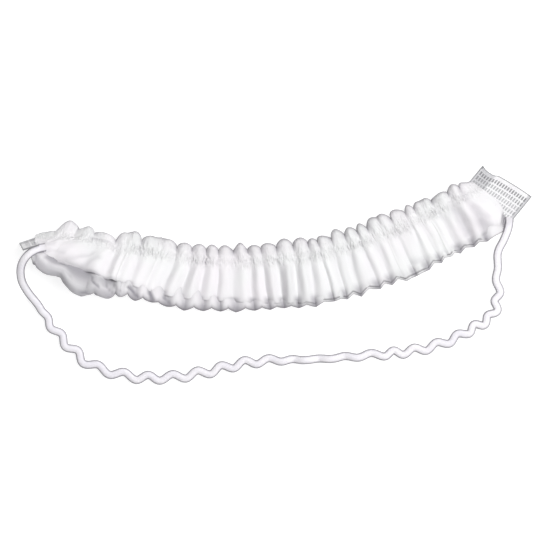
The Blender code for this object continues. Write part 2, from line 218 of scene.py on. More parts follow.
# Welded tabs, by the head and foot corners of the cut edge, then those of the inner edge
LEFT_TAB = ((-0.1154, -0.0021, 0.0007), (-0.1130, -0.0051, 0.0236),
            (-0.1087, 0.0008, 0.0007), (-0.1070, -0.0031, 0.0236))
RIGHT_TAB = ((0.0936, 0.0327, 0.0008), (0.1158, 0.0188, 0.0008),
             (0.0891, 0.0258, 0.0008), (0.1073, 0.0084, 0.0008))
TAB_THICKNESS = 0.0006
TAB_LAP = 0.0012  # how far a tab runs in under the cloth
TAB_CURL = 0.0012  # how far the right tab's head end is bent up
TAB_FOLD = 0.29  # where the bend is, as a share of the tab's width
TAB_INSET = 0.0010  # how far that draws its cut edge in
INSET_IN = (0.0, 0.12)
INSET_OUT = (0.24, 0.10)
TAB_BULGE = 0.0003  # how far the rest of its cut edge bows out
TAB_MARGIN = 0.0017  # plain strip along the cut edge
TAB_SIDE = 0.0009  # plain strips at the ends of the rows
TAB_LINE = 0.0003  # of the darker line round the outside
TAB_LINE_END = 0.0005  # where that has faded
GREY_HEAD_END = (0.27, 0.30)  # how far its two greyer ends reach, as shares of its width
GREY_FOOT_END = (0.935, 0.945)
DASH_PITCH = 0.00131
ROW_PITCH = 0.00265
DASH_WIDTH = 0.00055
DASH_LENGTH = 0.0017
DASH_RIM = 0.00012
DASH_DEPTH = 0.00016
DASH_FADE = 0.40  # how much paler the rows far from the cut edge are
FADE_ROWS = 2.5

# Head elastic
ELASTIC_DIAMETER = 0.0037
ELASTIC_LEVEL = 0.0019  # height of its middle where it lies on the table
ELASTIC_SIDES = 20
ELASTIC_STEP = 0.00045
ROUTE_STEPS = 24  # on the smooth curve from each point of the route to the next
CRIMP_SWING = 0.0014
CRIMP_LIFT = 0.0011
PRESSED_REACH = 0.0060  # how far the weld's pressing shows at each end
PRESSED_SHARE = 0.15  # of the thickness that it leaves
FLANK_OUT = (0.44, 0.36)  # the painted shade along the elastic's sides, by how far the surface faces up
MERGE_REACH = 0.000001  # closes each ring round the tube

# The strip's stations. along is a share of STRIP_LENGTH, rise of END_RISE, twist of END_TWIST,
# loft of PLY_PITCH and splay of SPLAY_REACH, and edge says how far down the front ply reaches,
# as a share of half the width. head_out and foot_out are how much further the thin sheet's two
# edges reach than the middle of the CAD's wall, in shares of EDGE_OUT.
Station = namedtuple("Station", "along rise twist loft splay edge head_out foot_out")
STATIONS = (
    Station(0.00, 0.49, 1.00, 1.20, 0.30, 0.98, 0.0, 1.6),
    Station(0.05, 0.43, 0.84, 1.40, 0.70, 0.90, 1.0, 0.8),
    Station(0.10, 0.34, 0.53, 1.50, 1.00, 0.70, 0.3, 1.4),
    Station(0.15, 0.23, 0.52, 1.35, 0.65, 0.70, 0.0, 0.6),
    Station(0.20, 0.18, 0.47, 1.20, 0.20, 0.76, 1.3, 1.3),
    Station(0.30, 0.05, 0.23, 1.00, 0.10, 0.80, 0.7, 1.5),
    Station(0.40, -0.01, 0.07, 1.00, 0.00, 0.78, 0.4, 1.4),
    Station(0.50, 0.00, 0.00, 1.00, 0.00, 0.90, 0.9, 1.4),
    Station(0.60, 0.05, 0.00, 1.00, 0.00, 0.94, 1.8, 1.4),
    Station(0.70, 0.20, 0.00, 1.00, 0.00, 0.93, 1.3, 0.9),
    Station(0.80, 0.41, 0.00, 0.97, 0.00, 0.93, 1.3, 0.9),
    Station(0.90, 0.69, 0.00, 0.92, 0.00, 0.93, 0.8, 0.9),
    Station(1.00, 1.00, 0.00, 0.90, 0.00, 0.93, 0.0, 3.8),
)

# The flutes from left to right. head and foot are widths along the two edges, in mean flute
# widths. puff is a share of PUFF_REACH, lobe of LOBE_REACH, depth of FLUTE_HEIGHT and swell of
# SWELL_REACH, by which a puff leans out along +Y. peak is where along the flute its ridge is
# highest, from 0 at its left to 1, point is 0 for a round puff and 1 for a pointed one, and
# tone is how grey its flank away from the light is. dip is how deep the crease on its right
# cuts between two puffs, and notch how deep the flute's own notch cuts between two lobes.
Flute = namedtuple("Flute", "head foot puff lobe peak point depth tone dip notch swell",
                   defaults=(1.0, 1.0, 0.0))
NO_FLUTE = Flute(0.0, 0.0, 0.0, 0.0, 0.0, 0.0, 0.0, 0.0)  # beyond either end
FLUTES = (
    Flute(1.15, 0.35, 0.00, 0.20, 0.50, 0.5, 0.20, 0.00, dip=0.0, swell=0.25),
    Flute(1.15, 0.70, 0.90, 0.30, 0.60, 0.2, 0.25, 0.10, dip=0.0, swell=0.8),
    Flute(1.10, 2.80, 0.50, 0.85, 0.42, 0.0, 0.30, 0.20),
    Flute(1.60, 1.20, 0.40, 1.00, 0.50, 0.2, 0.70, 0.20),
    Flute(1.10, 0.85, 0.85, 1.00, 0.60, 0.3, 0.60, 0.15, dip=0.0),
    Flute(0.75, 1.10, 1.00, 0.80, 0.40, 0.2, 0.60, 0.20),
    Flute(1.20, 1.00, 0.65, 0.40, 0.45, 0.3, 0.60, 0.10, dip=0.0),
    Flute(1.25, 1.05, 0.65, 0.40, 0.35, 0.2, 0.60, 0.15),
    Flute(1.05, 1.05, 0.50, 0.80, 0.50, 0.1, 0.90, 0.20),
    Flute(1.15, 1.20, 0.55, 0.60, 0.48, 0.2, 1.00, 0.35),
    Flute(0.95, 1.05, 0.60, 0.60, 0.50, 0.2, 0.90, 0.30),
    Flute(1.05, 0.90, 0.60, 0.80, 0.38, 0.9, 0.70, 0.25),
    Flute(1.10, 1.20, 0.90, 0.60, 0.52, 0.9, 0.65, 0.15),
    Flute(0.95, 1.00, 0.50, 0.60, 0.50, 0.1, 0.80, 0.45),
    Flute(1.05, 0.95, 0.60, 0.40, 0.45, 0.1, 0.85, 0.50),
    Flute(1.25, 0.90, 0.95, 0.60, 0.50, 0.1, 1.10, 0.95),
    Flute(1.20, 1.10, 0.80, 0.80, 0.52, 0.0, 1.00, 0.50),
    Flute(0.80, 1.05, 0.45, 0.40, 0.50, 0.1, 0.65, 0.30),
    Flute(1.00, 0.75, 0.55, 0.75, 0.34, 0.7, 0.55, 0.10, notch=0.6),
    Flute(1.00, 0.95, 0.95, 1.10, 0.38, 0.4, 0.50, 0.35),
    Flute(0.90, 1.20, 0.75, 0.80, 0.45, 0.4, 0.55, 0.40),
    Flute(0.80, 0.70, 0.80, 0.85, 0.42, 0.5, 0.45, 0.30),
    Flute(0.90, 0.90, 1.00, 1.10, 0.60, 0.2, 0.50, 0.25, dip=0.2),
    Flute(0.80, 0.70, 1.00, 0.90, 0.35, 0.6, 0.60, 0.30, notch=0.1),
    Flute(1.05, 0.75, 0.85, 0.80, 0.36, 0.1, 0.30, 0.45, notch=0.1),
    Flute(0.65, 0.80, 0.75, 0.70, 0.50, 0.5, 0.35, 0.20),
    Flute(0.65, 0.70, 0.60, 0.40, 0.50, 0.3, 0.35, 0.10, dip=0.0),
    Flute(0.55, 0.55, 0.60, 0.70, 0.40, 0.6, 0.40, 0.30),
    Flute(1.15, 0.90, 0.38, 0.60, 0.62, 0.2, 0.60, 0.20),
    Flute(0.85, 0.85, 0.66, 0.60, 0.56, 0.2, 0.70, 0.75),
    Flute(0.85, 1.80, 0.60, 0.00, 0.40, 0.3, 0.50, 0.30),
)

# The folded sheet in cross-section, from the free edge of the front ply to that of the back
# ply. cuts is the number of steps to the next bend, across a share of half the width, positive
# towards the head edge, level a ply count off the back ply and ripple a share of FLUTE_HEIGHT.
# splay, puff and lobe say how much of the station's splay, or of the flute's own puff or lobe,
# is added.
Bend = namedtuple("Bend", "cuts across level ripple splay puff lobe", defaults=(0.0, 0.0))
PROFILE = (
    Bend(8, -1.00, 2.14, 0.80, 0.00),
    Bend(8, -0.40, 2.90, 0.95, 0.00),
    Bend(8, 0.15, 3.10, 0.90, 0.00),
    Bend(8, 0.52, 2.72, 0.40, 0.00),
    Bend(7, 0.76, 3.05, 0.85, 0.00, puff=0.30),
    Bend(5, 0.94, 2.95, 1.00, 0.00, puff=0.85),
    Bend(4, 1.00, 2.50, 0.80, 0.00, puff=1.00),
    Bend(6, 0.94, 2.05, 0.50, 0.00, puff=0.85),
    Bend(8, 0.60, 1.95, 0.45, 0.10, puff=0.20),
    Bend(7, -0.40, 2.00, 0.80, 0.50),
    Bend(3, -0.94, 1.95, 0.80, 1.00, lobe=0.85),
    Bend(3, -1.00, 1.50, 0.70, 1.00, lobe=1.00),
    Bend(6, -0.94, 1.05, 0.60, 1.00, lobe=0.85),
    Bend(6, -0.40, 1.00, 0.55, 0.70),
    Bend(3, 0.50, 1.00, 0.45, 0.40),
    Bend(2, 0.86, 0.95, 0.40, 0.30),
    Bend(2, 0.92, 0.50, 0.35, 0.30),
    Bend(3, 0.86, 0.05, 0.30, 0.30),
    Bend(4, 0.30, 0.00, 0.30, 0.50),
    Bend(3, -0.40, 0.00, 0.30, 0.70),
    Bend(0, -0.85, 0.00, 0.30, 0.80),
)

# Places in PROFILE, by the number of the bend
LEAN_END = 3  # where the front ply stops leaning to the left
FRONT_TOP = 4  # where its creases end, below the puffs
HEAD_FOLD = 6
UNDER_START = 9  # from here the under plies can show below the front one
FOOT_FOLD = 11
BACK_START = 12  # the start of the lowest two plies

# Creases that don't follow the flutes, each by its two ends, by how far it reaches to either
# side and by its depth as a share of CREASE_DEPTH: first those of the front ply, then those of
# the plies that show below it. Each is also painted darker along its line, a painted shade.
Crease = namedtuple("Crease", "x y far_x far_y width depth")
FRONT_CREASES = [Crease(*row) for row in (
    (-0.1058, -0.0025, -0.0994, -0.0022, 0.0009, 0.30), (-0.1031, -0.0056, -0.0952, -0.0061, 0.0010, 0.35),
    (-0.0929, -0.0089, -0.0826, -0.0074, 0.0012, 0.40), (-0.0870, -0.0133, -0.0792, -0.0081, 0.0012, 0.40),
    (-0.0981, -0.0107, -0.0923, -0.0120, 0.0009, 0.35), (-0.0819, 0.0001, -0.0734, -0.0012, 0.0013, 0.50),
    (0.0810, 0.0123, 0.0864, 0.0028, 0.0018, 0.60), (0.0932, 0.0073, 0.0999, 0.0028, 0.0022, 0.60),
    (0.0891, 0.0140, 0.0950, 0.0098, 0.0016, 0.35), (0.0941, 0.0001, 0.0999, 0.0019, 0.0010, 0.90),
    (0.0621, -0.0107, 0.0689, -0.0089, 0.0014, 0.45),
)]
FLAP_CREASES = [Crease(*row) for row in (
    (-0.0968, -0.0192, -0.0941, -0.0204, 0.0008, 1.00), (-0.0945, -0.0201, -0.0914, -0.0165, 0.0006, 0.55),
    (-0.1013, -0.0125, -0.0887, -0.0165, 0.0019, 0.40), (-0.0819, -0.0170, -0.0797, -0.0219, 0.0009, 0.80),
    (-0.0828, -0.0170, -0.0851, -0.0219, 0.0007, 0.55), (-0.0878, -0.0242, -0.0801, -0.0246, 0.0008, 0.80),
    (-0.0765, -0.0183, -0.0734, -0.0246, 0.0009, 0.65), (-0.0765, -0.0183, -0.0779, -0.0233, 0.0006, 0.50),
    (-0.0725, -0.0201, -0.0689, -0.0246, 0.0009, 0.55), (-0.0653, -0.0215, -0.0621, -0.0264, 0.0011, 0.90),
    (-0.0563, -0.0242, -0.0554, -0.0278, 0.0013, 0.90), (-0.0495, -0.0260, -0.0477, -0.0291, 0.0013, 0.80),
)]

# The head elastic's mean route, close to the CAD model's and carried on into the cloth. A point
# without a height lies at ELASTIC_LEVEL.
ELASTIC_ROUTE = (
    (-0.1030, -0.0040, 0.0176), (-0.1051, -0.0045, 0.0197), (-0.1074, -0.0053, 0.0212),
    (-0.1098, -0.0067, 0.0219), (-0.1120, -0.0089, 0.0216), (-0.1136, -0.0118, 0.0202),
    (-0.1142, -0.0154, 0.0178), (-0.1135, -0.0198, 0.0139), (-0.1109, -0.0246, 0.0089),
    (-0.1071, -0.0295, 0.0044), (-0.1035, -0.0350), (-0.0985, -0.0422), (-0.0918, -0.0496),
    (-0.0837, -0.0566), (-0.0734, -0.0604), (-0.0630, -0.0624), (-0.0518, -0.0629),
    (-0.0401, -0.0618), (-0.0284, -0.0597), (-0.0158, -0.0566), (-0.0023, -0.0550),
    (0.0113, -0.0548), (0.0248, -0.0541), (0.0383, -0.0530), (0.0518, -0.0519),
    (0.0630, -0.0505), (0.0734, -0.0480), (0.0824, -0.0444), (0.0891, -0.0406),
    (0.0954, -0.0369), (0.0993, -0.0318), (0.1004, -0.0255), (0.1004, -0.0188),
    (0.1001, -0.0116), (0.1010, -0.0053), (0.1035, 0.0001), (0.1049, 0.0037),
    (0.1056, 0.0067, 0.0013), (0.1058, 0.0096, 0.0004),
)

# The crimps of the elastic, each at the place where it swings furthest out of the loop. swing
# is a share of CRIMP_SWING, level, and lift a share of CRIMP_LIFT, upright.
Crimp = namedtuple("Crimp", "x y swing lift", defaults=(0.0,))
CRIMPS = [Crimp(*row) for row in (
    (-0.1060, -0.0310, 0.0), (-0.1012, -0.0399, 0.8), (-0.0936, -0.0480, 1.0),
    (-0.0860, -0.0557, 1.0), (-0.0747, -0.0611, 1.0), (-0.0626, -0.0638, 1.0),
    (-0.0518, -0.0647, 0.9), (-0.0401, -0.0629, 1.0), (-0.0288, -0.0615, 1.0),
    (-0.0185, -0.0579, 1.0, 0.1), (-0.0081, -0.0561, 0.9, 0.3), (0.0032, -0.0548, 0.5, 0.7),
    (0.0140, -0.0548, 0.1, 1.0), (0.0252, -0.0548, 0.2, 1.0), (0.0374, -0.0534, 0.5, 0.8),
    (0.0491, -0.0525, 0.8, 0.4), (0.0581, -0.0523, 0.9, 0.1), (0.0684, -0.0512, 0.9),
    (0.0788, -0.0474, 0.9), (0.0878, -0.0431, 0.9), (0.0945, -0.0390, 0.9),
    (0.1004, -0.0327, 0.9), (0.1012, -0.0242, 0.8), (0.1008, -0.0120, 0.3),
    (0.1030, 0.0000, 0.0),
)]


def mix(low, high, share):
    return low + (high - low) * share


def clamp(share):
    return min(max(share, 0.0), 1.0)


def smooth_step(share):
    share = clamp(share)
    return share * share * (3.0 - 2.0 * share)


def fade_in(value, start, reach):
    """0 up to the start, rising smoothly to 1 over the reach."""
    return smooth_step((value - start) / reach)


def fade_out(value, start, reach):
    return 1.0 - fade_in(value, start, reach)


def bell(distance, width):
    """1 at distance 0, falling smoothly to 0 over about two widths."""
    return math.exp(-(distance / width) ** 2)


def curve(start, end, leave, arrive, share):
    """A smooth way from start to end, with a slope of its own at either end."""
    return (mix(start, end, smooth_step(share)) + leave * share * (1.0 - share) ** 2
            - arrive * share ** 2 * (1.0 - share))


def uneven(kind, along, across):
    """A value that varies smoothly from place to place."""
    spot = Vector((along / kind.along, across / kind.across, kind.seed))
    return kind.middle + kind.swing * noise.noise(spot)


def direction_at(points, index):
    before = points[max(index - 1, 0)]
    return (points[min(index + 1, len(points) - 1)] - before).normalized()


def add_to_scene(name, data):
    made = bpy.data.objects.new(name, data)
    bpy.context.scene.collection.objects.link(made)
    return made


def lay_grid(rows, layer_names):
    """A mesh over rows of points, each with its layers' values and its place in the map."""
    builder = bmesh.new()
    layers = [builder.verts.layers.float.new(name) for name in layer_names]
    cloth_map = builder.loops.layers.uv.new("cloth_metres")
    grid = []
    for row in rows:
        line = []
        for point, values, spot in row:
            vert = builder.verts.new(point)
            for layer, value in zip(layers, values):
                vert[layer] = value
            line.append((vert, spot))
        grid.append(line)
    for before, after in zip(grid, grid[1:]):
        for index in range(len(before) - 1):
            corners = (before[index], after[index], after[index + 1], before[index + 1])
            face = builder.faces.new([vert for vert, spot in corners])
            face.smooth = True
            for loop, (vert, spot) in zip(face.loops, corners):
                loop[cloth_map].uv = spot
    return builder


def finish_mesh(name, builder, material):
    mesh = bpy.data.meshes.new(name)
    builder.to_mesh(mesh)
    builder.free()
    mesh.materials.append(material)
    return add_to_scene(name, mesh)


def thicken(piece, thickness, offset=0.0):
    bpy.ops.object.select_all(action="DESELECT")
    piece.select_set(True)
    bpy.context.view_layer.objects.active = piece
    wall = piece.modifiers.new("wall", "SOLIDIFY")
    wall.thickness = thickness
    wall.offset = offset
    bpy.ops.object.modifier_apply(modifier=wall.name)


# Camera, light and table


def make_camera():
    data = bpy.data.cameras.new("camera")
    data.lens = CAMERA_LENS
    data.sensor_width = SENSOR_WIDTH
    data.clip_end = FAR_CLIP
    camera = add_to_scene("camera", data)
    distance = FRAME_WIDTH * CAMERA_LENS / SENSOR_WIDTH
    camera.location = (*CAMERA_CENTRE, CLOTH_LEVEL + distance)
    bpy.context.scene.camera = camera


def make_studio():
    bpy.context.scene.view_settings.view_transform = "Standard"
    world = bpy.data.worlds.new("studio")
    world.use_nodes = True
    background = world.node_tree.nodes["Background"]
    background.inputs["Color"].default_value = (1.0, 1.0, 1.0, 1.0)
    background.inputs["Strength"].default_value = WORLD_LIGHT
    bpy.context.scene.world = world
    for name, place, size, power in LAMPS:
        data = bpy.data.lights.new(name, "AREA")
        data.shape = "DISK"
        data.size = size
        data.energy = power
        lamp = add_to_scene(name, data)
        lamp.location = place
        lamp.rotation_euler = (-Vector(place)).to_track_quat("-Z", "Y").to_euler()


def make_table():
    bpy.ops.mesh.primitive_plane_add(size=TABLE_SIZE, location=(0.0, 0.0, TABLE_LEVEL))
    table = bpy.context.object
    table.name = "table_top"
    paint = Material("table_paint")
    speck = paint.noise(paint.place(), 40.0, 2.0)
    paint.finish(paint.ramp(speck, (0.3, (0.40, 0.40, 0.40)), (0.7, (0.41, 0.41, 0.41))), 0.6,
                 Emission_Color=(1.0, 1.0, 1.0, 1.0), Emission_Strength=TABLE_GLOW)
    table.data.materials.append(paint.material)


# Shader maths


class Socket:
    """An output socket whose sums and products are Math nodes."""

    def __init__(self, paint, output):
        self.paint = paint
        self.output = output

    def math(self, operation, first, second):
        return self.paint.node("ShaderNodeMath", {"operation": operation}, {0: first, 1: second})

    def __add__(self, other):
        return self.math("ADD", self, other)

    __radd__ = __add__

    def __sub__(self, other):
        return self.math("SUBTRACT", self, other)

    def __rsub__(self, other):
        return self.math("SUBTRACT", other, self)

    def __mul__(self, other):
        return self.math("MULTIPLY", self, other)

    __rmul__ = __mul__


class Material:
    """A Principled material whose patterns are built as Python expressions."""

    def __init__(self, name):
        self.material = bpy.data.materials.new(name)
        self.material.use_nodes = True
        self.tree = self.material.node_tree
        self.shader = self.tree.nodes["Principled BSDF"]

    def node(self, kind, settings, values, output=0):
        """A node with its settings, then its sockets' values or links, as one output."""
        made = self.tree.nodes.new(kind)
        for name, value in settings.items():
            if name == "stops":
                for element, (place, colour) in zip(made.color_ramp.elements, value):
                    element.position = place
                    element.color = (*colour, 1.0)
            else:
                setattr(made, name, value)
        for name, value in values.items():
            self.feed(made.inputs[name], value)
        return Socket(self, made.outputs[output])

    def feed(self, socket, value):
        if isinstance(value, Socket):
            self.tree.links.new(value.output, socket)
        else:
            socket.default_value = value

    def ramp(self, value, low, high):
        return self.node("ShaderNodeValToRGB", {"stops": (low, high)}, {0: value})

    def blend(self, share, colour, grey):
        return self.node("ShaderNodeMix", {"data_type": "RGBA"},
                         {0: share, 6: colour, 7: (*grey, 1.0)}, 2)

    def place(self):
        return self.node("ShaderNodeTexCoord", {}, {}, "Object")

    def map(self, along, across):
        """The piece's own UV map, which is in metres, stretched both ways."""
        own = self.node("ShaderNodeUVMap", {"uv_map": "cloth_metres"}, {})
        return self.node("ShaderNodeMapping", {}, {"Vector": own, "Scale": (along, across, 1.0)})

    def fade_in(self, value, start, end):
        return self.node("ShaderNodeMapRange", {"interpolation_type": "SMOOTHSTEP"},
                         {"Value": value, "From Min": start, "From Max": end})

    def attribute(self, name):
        return self.node("ShaderNodeAttribute", {"attribute_name": name}, {}, "Fac")

    def noise(self, vector, scale=1.0, detail=3.0):
        return self.node("ShaderNodeTexNoise", {},
                         {"Vector": vector, "Scale": scale, "Detail": detail}, "Fac")

    def bump(self, height, strength, distance, under=None):
        """A relief, laid over another one if that is given."""
        values = {"Height": height, "Strength": strength, "Distance": distance}
        if under is not None:
            values["Normal"] = under
        return self.node("ShaderNodeBump", {}, values)

    def finish(self, base, roughness, normal=None, **constants):
        self.feed(self.shader.inputs["Base Color"], base)
        self.feed(self.shader.inputs["Roughness"], roughness)
        if normal is not None:
            self.feed(self.shader.inputs["Normal"], normal)
        for name, value in constants.items():
            self.shader.inputs[name.replace("_", " ")].default_value = value


def spunbond_relief(paint, strength, under=None):
    """Loose fibres and the small bond points that hold them."""
    thread = paint.noise(paint.map(9000.0, 900.0), detail=4.0)
    crossing = paint.noise(paint.map(1100.0, 7000.0), detail=4.0)
    points = paint.node("ShaderNodeTexVoronoi", {"feature": "F1"},
                        {"Vector": paint.map(1100.0, 800.0), "Scale": 1.0, "Randomness": 0.15},
                        "Distance")
    return paint.bump((thread + crossing + points) * 0.5, strength, FIBRE_HEIGHT, under)


def make_cloth_material():
    paint = Material("spunbond_cloth")
    colour = paint.ramp(paint.noise(paint.place(), 45.0, 2.0),
                        (0.38, (0.855, 0.83, 0.855)), (0.62, (0.835, 0.84, 0.842)))
    # The painted shade, laid over the white one layer at a time
    for name, strength, grey in CLOTH_PAINTED_SHADES:
        colour = paint.blend(paint.attribute(name) * strength, colour, grey)
    wrinkle = paint.noise(paint.map(900.0, 420.0)) * paint.attribute("gather")
    wrinkled = paint.bump(wrinkle, 0.9, WRINKLE_HEIGHT)
    paint.finish(colour, 0.75, spunbond_relief(paint, 0.35, wrinkled),
                 Subsurface_Weight=0.15, Sheen_Weight=0.1, **TRANSLUCENT)
    return paint.material


def make_weld_material():
    paint = Material("welded_cloth")
    white = paint.ramp(paint.noise(paint.place(), 200.0, 2.0),
                       (0.35, (0.77, 0.76, 0.78)), (0.65, (0.81, 0.81, 0.82)))
    share = paint.attribute("share")
    ends = 1.0 - paint.fade_in(share, *GREY_HEAD_END) + paint.fade_in(share, *GREY_FOOT_END)
    streak = paint.noise(paint.map(1500.0, 260.0), detail=2.0)
    greyer = paint.blend(ends * (streak * 0.7 + 0.25), white, (0.36, 0.36, 0.38))
    pressed = paint.blend(paint.attribute("dash") * 0.85, greyer, (0.18, 0.18, 0.19))
    outline = 1.0 - paint.fade_in(paint.attribute("border"), TAB_LINE, TAB_LINE_END)
    paint.finish(paint.blend(outline * 0.9, pressed, (0.20, 0.20, 0.21)), 0.55,
                 spunbond_relief(paint, 0.25), Subsurface_Weight=0.1, **TRANSLUCENT)
    return paint.material


def make_elastic_material():
    paint = Material("covered_elastic")
    white = paint.ramp(paint.noise(paint.place(), 90.0, 2.0),
                       (0.35, (0.81, 0.79, 0.84)), (0.65, (0.87, 0.85, 0.88)))
    # The pressed ends, welded into the cloth, are painted greyer: a painted shade that blends them into
    # the shaded cloth around them
    welded = paint.blend(paint.attribute("pressed"), white, (0.72, 0.70, 0.73))
    # Painted shade along the elastic's sides
    shaded_sides = paint.blend(paint.attribute("flank") * 0.92, welded, (0.13, 0.12, 0.15))
    around = paint.node("ShaderNodeTexWave", {"bands_direction": "DIAGONAL"},
                        {"Vector": paint.map(900.0, 900.0), "Scale": 0.5, "Distortion": 0.6}, "Fac")
    paint.finish(shaded_sides, 0.8, paint.bump(around, 0.4, FIBRE_HEIGHT),
                 Subsurface_Weight=0.1, Sheen_Weight=0.1, **TRANSLUCENT)
    return paint.material


# The folded strip


def station_slope(index, column):
    """Slope of a column of STATIONS at one row, from the rows on both sides of it."""
    before = STATIONS[max(index - 1, 0)]
    after = STATIONS[min(index + 1, len(STATIONS) - 1)]
    return (getattr(after, column) - getattr(before, column)) / (after.along - before.along)


def read_station(along, column):
    """A column of STATIONS at any place along the strip, on a smooth curve."""
    index = 0
    while index < len(STATIONS) - 2 and along > STATIONS[index + 1].along:
        index += 1
    start, end = STATIONS[index:index + 2]
    reach = end.along - start.along
    return curve(getattr(start, column), getattr(end, column),
                 station_slope(index, column) * reach, station_slope(index + 1, column) * reach,
                 (along - start.along) / reach)


def spine_point(along):
    rise = read_station(along, "rise") * END_RISE
    return STRIP_START + Vector((along * STRIP_LENGTH, rise, 0.0))


def spine_direction(along):
    low = max(along - SPINE_STEP, 0.0)
    high = min(along + SPINE_STEP, 1.0)
    return (spine_point(high) - spine_point(low)).normalized()


def head_side(along):
    forward = spine_direction(along)
    return Vector((-forward.y, forward.x, 0.0))


def edge_shares(column):
    """Where the creases between the flutes meet one edge, from 0 to 1."""
    widths = [getattr(flute, column) for flute in FLUTES]
    return [sum(widths[:count]) / sum(widths) for count in range(len(widths) + 1)]


def pinch_at(progress):
    """0 where the plies are pinched into a weld, 1 where they lie open."""
    from_left = progress * STRIP_LENGTH / LEFT_PINCH
    from_right = (1.0 - progress) * STRIP_LENGTH / RIGHT_PINCH
    return smooth_step(min(from_left, from_right))


class Spot:
    """A place in the folded sheet's cross-section, with what depends on it alone."""

    def __init__(self, bend, place, places):
        under = place > places[UNDER_START]
        self.bend = bend
        self.place = place
        self.fold = min(abs(place - places[HEAD_FOLD]), abs(place - places[FOOT_FOLD]))
        self.from_edge = smooth_step(place / places[1])
        self.free_edge = smooth_step(1.0 - place / places[1])
        self.front_edge = smooth_step(1.0 - place / places[2])
        self.full = max(bend.puff, bend.lobe * LOBE_DEPTH, self.free_edge * FREE_DEPTH)
        self.crisp = max(bend.lobe, self.free_edge * FREE_CRISP)
        self.drop = fade_in(-bend.across, *DROP_BELOW)
        self.lean = fade_out(bend.across, *LEAN_ABOVE) if place < places[LEAN_END] else 0.0
        self.nicked = bend.lobe
        if place >= places[BACK_START]:
            self.nicked = fade_in(-bend.across, *NICK_BELOW)
        self.lifted = self.nicked * BACK_LIFT if place > places[BACK_START] else 0.0
        self.creases = ()
        if place < places[FRONT_TOP]:
            self.creases = FRONT_CREASES
        elif under and place < places[BACK_START]:
            self.creases = FLAP_CREASES
        # Painted shade: in creases and notches, behind the front ply, in blobs above the lobes, on the
        # puffs' rims and on the body's flanks
        self.crease_grey = FLAP_CREASE_GREY if under else FRONT_CREASE_GREY
        self.notch = NOTCH_GREY * fade_in(bend.puff, *NOTCH_PUFF)
        self.behind = fade_out(bend.level, *BEHIND_LEVEL) * (1.0 - bend.puff)
        self.blob = fade_in(-bend.across, *BLOB_BELOW)
        self.rim = fade_in(bend.puff, *RIM_PUFF)
        self.body = fade_out(bend.across, *BODY_ABOVE) * fade_in(bend.level, *BODY_LEVEL)


def profile_slopes(values, places):
    """Slopes of one column of PROFILE at its bends, weighted towards the nearer neighbour."""
    reaches = [after - before for before, after in zip(places, places[1:])]
    slopes = [(after - before) / reach
              for before, after, reach in zip(values, values[1:], reaches)]
    inner = [(first * second_reach + second * first_reach) / (first_reach + second_reach)
             for first, second, first_reach, second_reach
             in zip(slopes, slopes[1:], reaches, reaches[1:])]
    return [slopes[0], *inner, slopes[-1]]


def profile_spots():
    """The bends of PROFILE with rounder bends between them."""
    places = [0.0]
    for before, after in zip(PROFILE, PROFILE[1:]):
        across = (after.across - before.across) * STRIP_WIDTH / 2
        across += (after.puff - before.puff) * PUFF_REACH
        outward = (after.level - before.level) * PLY_PITCH
        places.append(places[-1] + math.hypot(across, outward))
    columns = list(zip(*PROFILE))[1:]
    slopes = [profile_slopes(values, places) for values in columns]
    spots = []
    for index, bend in enumerate(PROFILE[:-1]):
        reach = places[index + 1] - places[index]
        for share in (step / bend.cuts for step in range(bend.cuts)):
            between = [curve(*values[index:index + 2], slope[index] * reach,
                             slope[index + 1] * reach, share)
                       for values, slope in zip(columns, slopes)]
            spots.append(Spot(Bend(0, *between), places[index] + reach * share, places))
    return [*spots, Spot(PROFILE[-1], places[-1], places)]


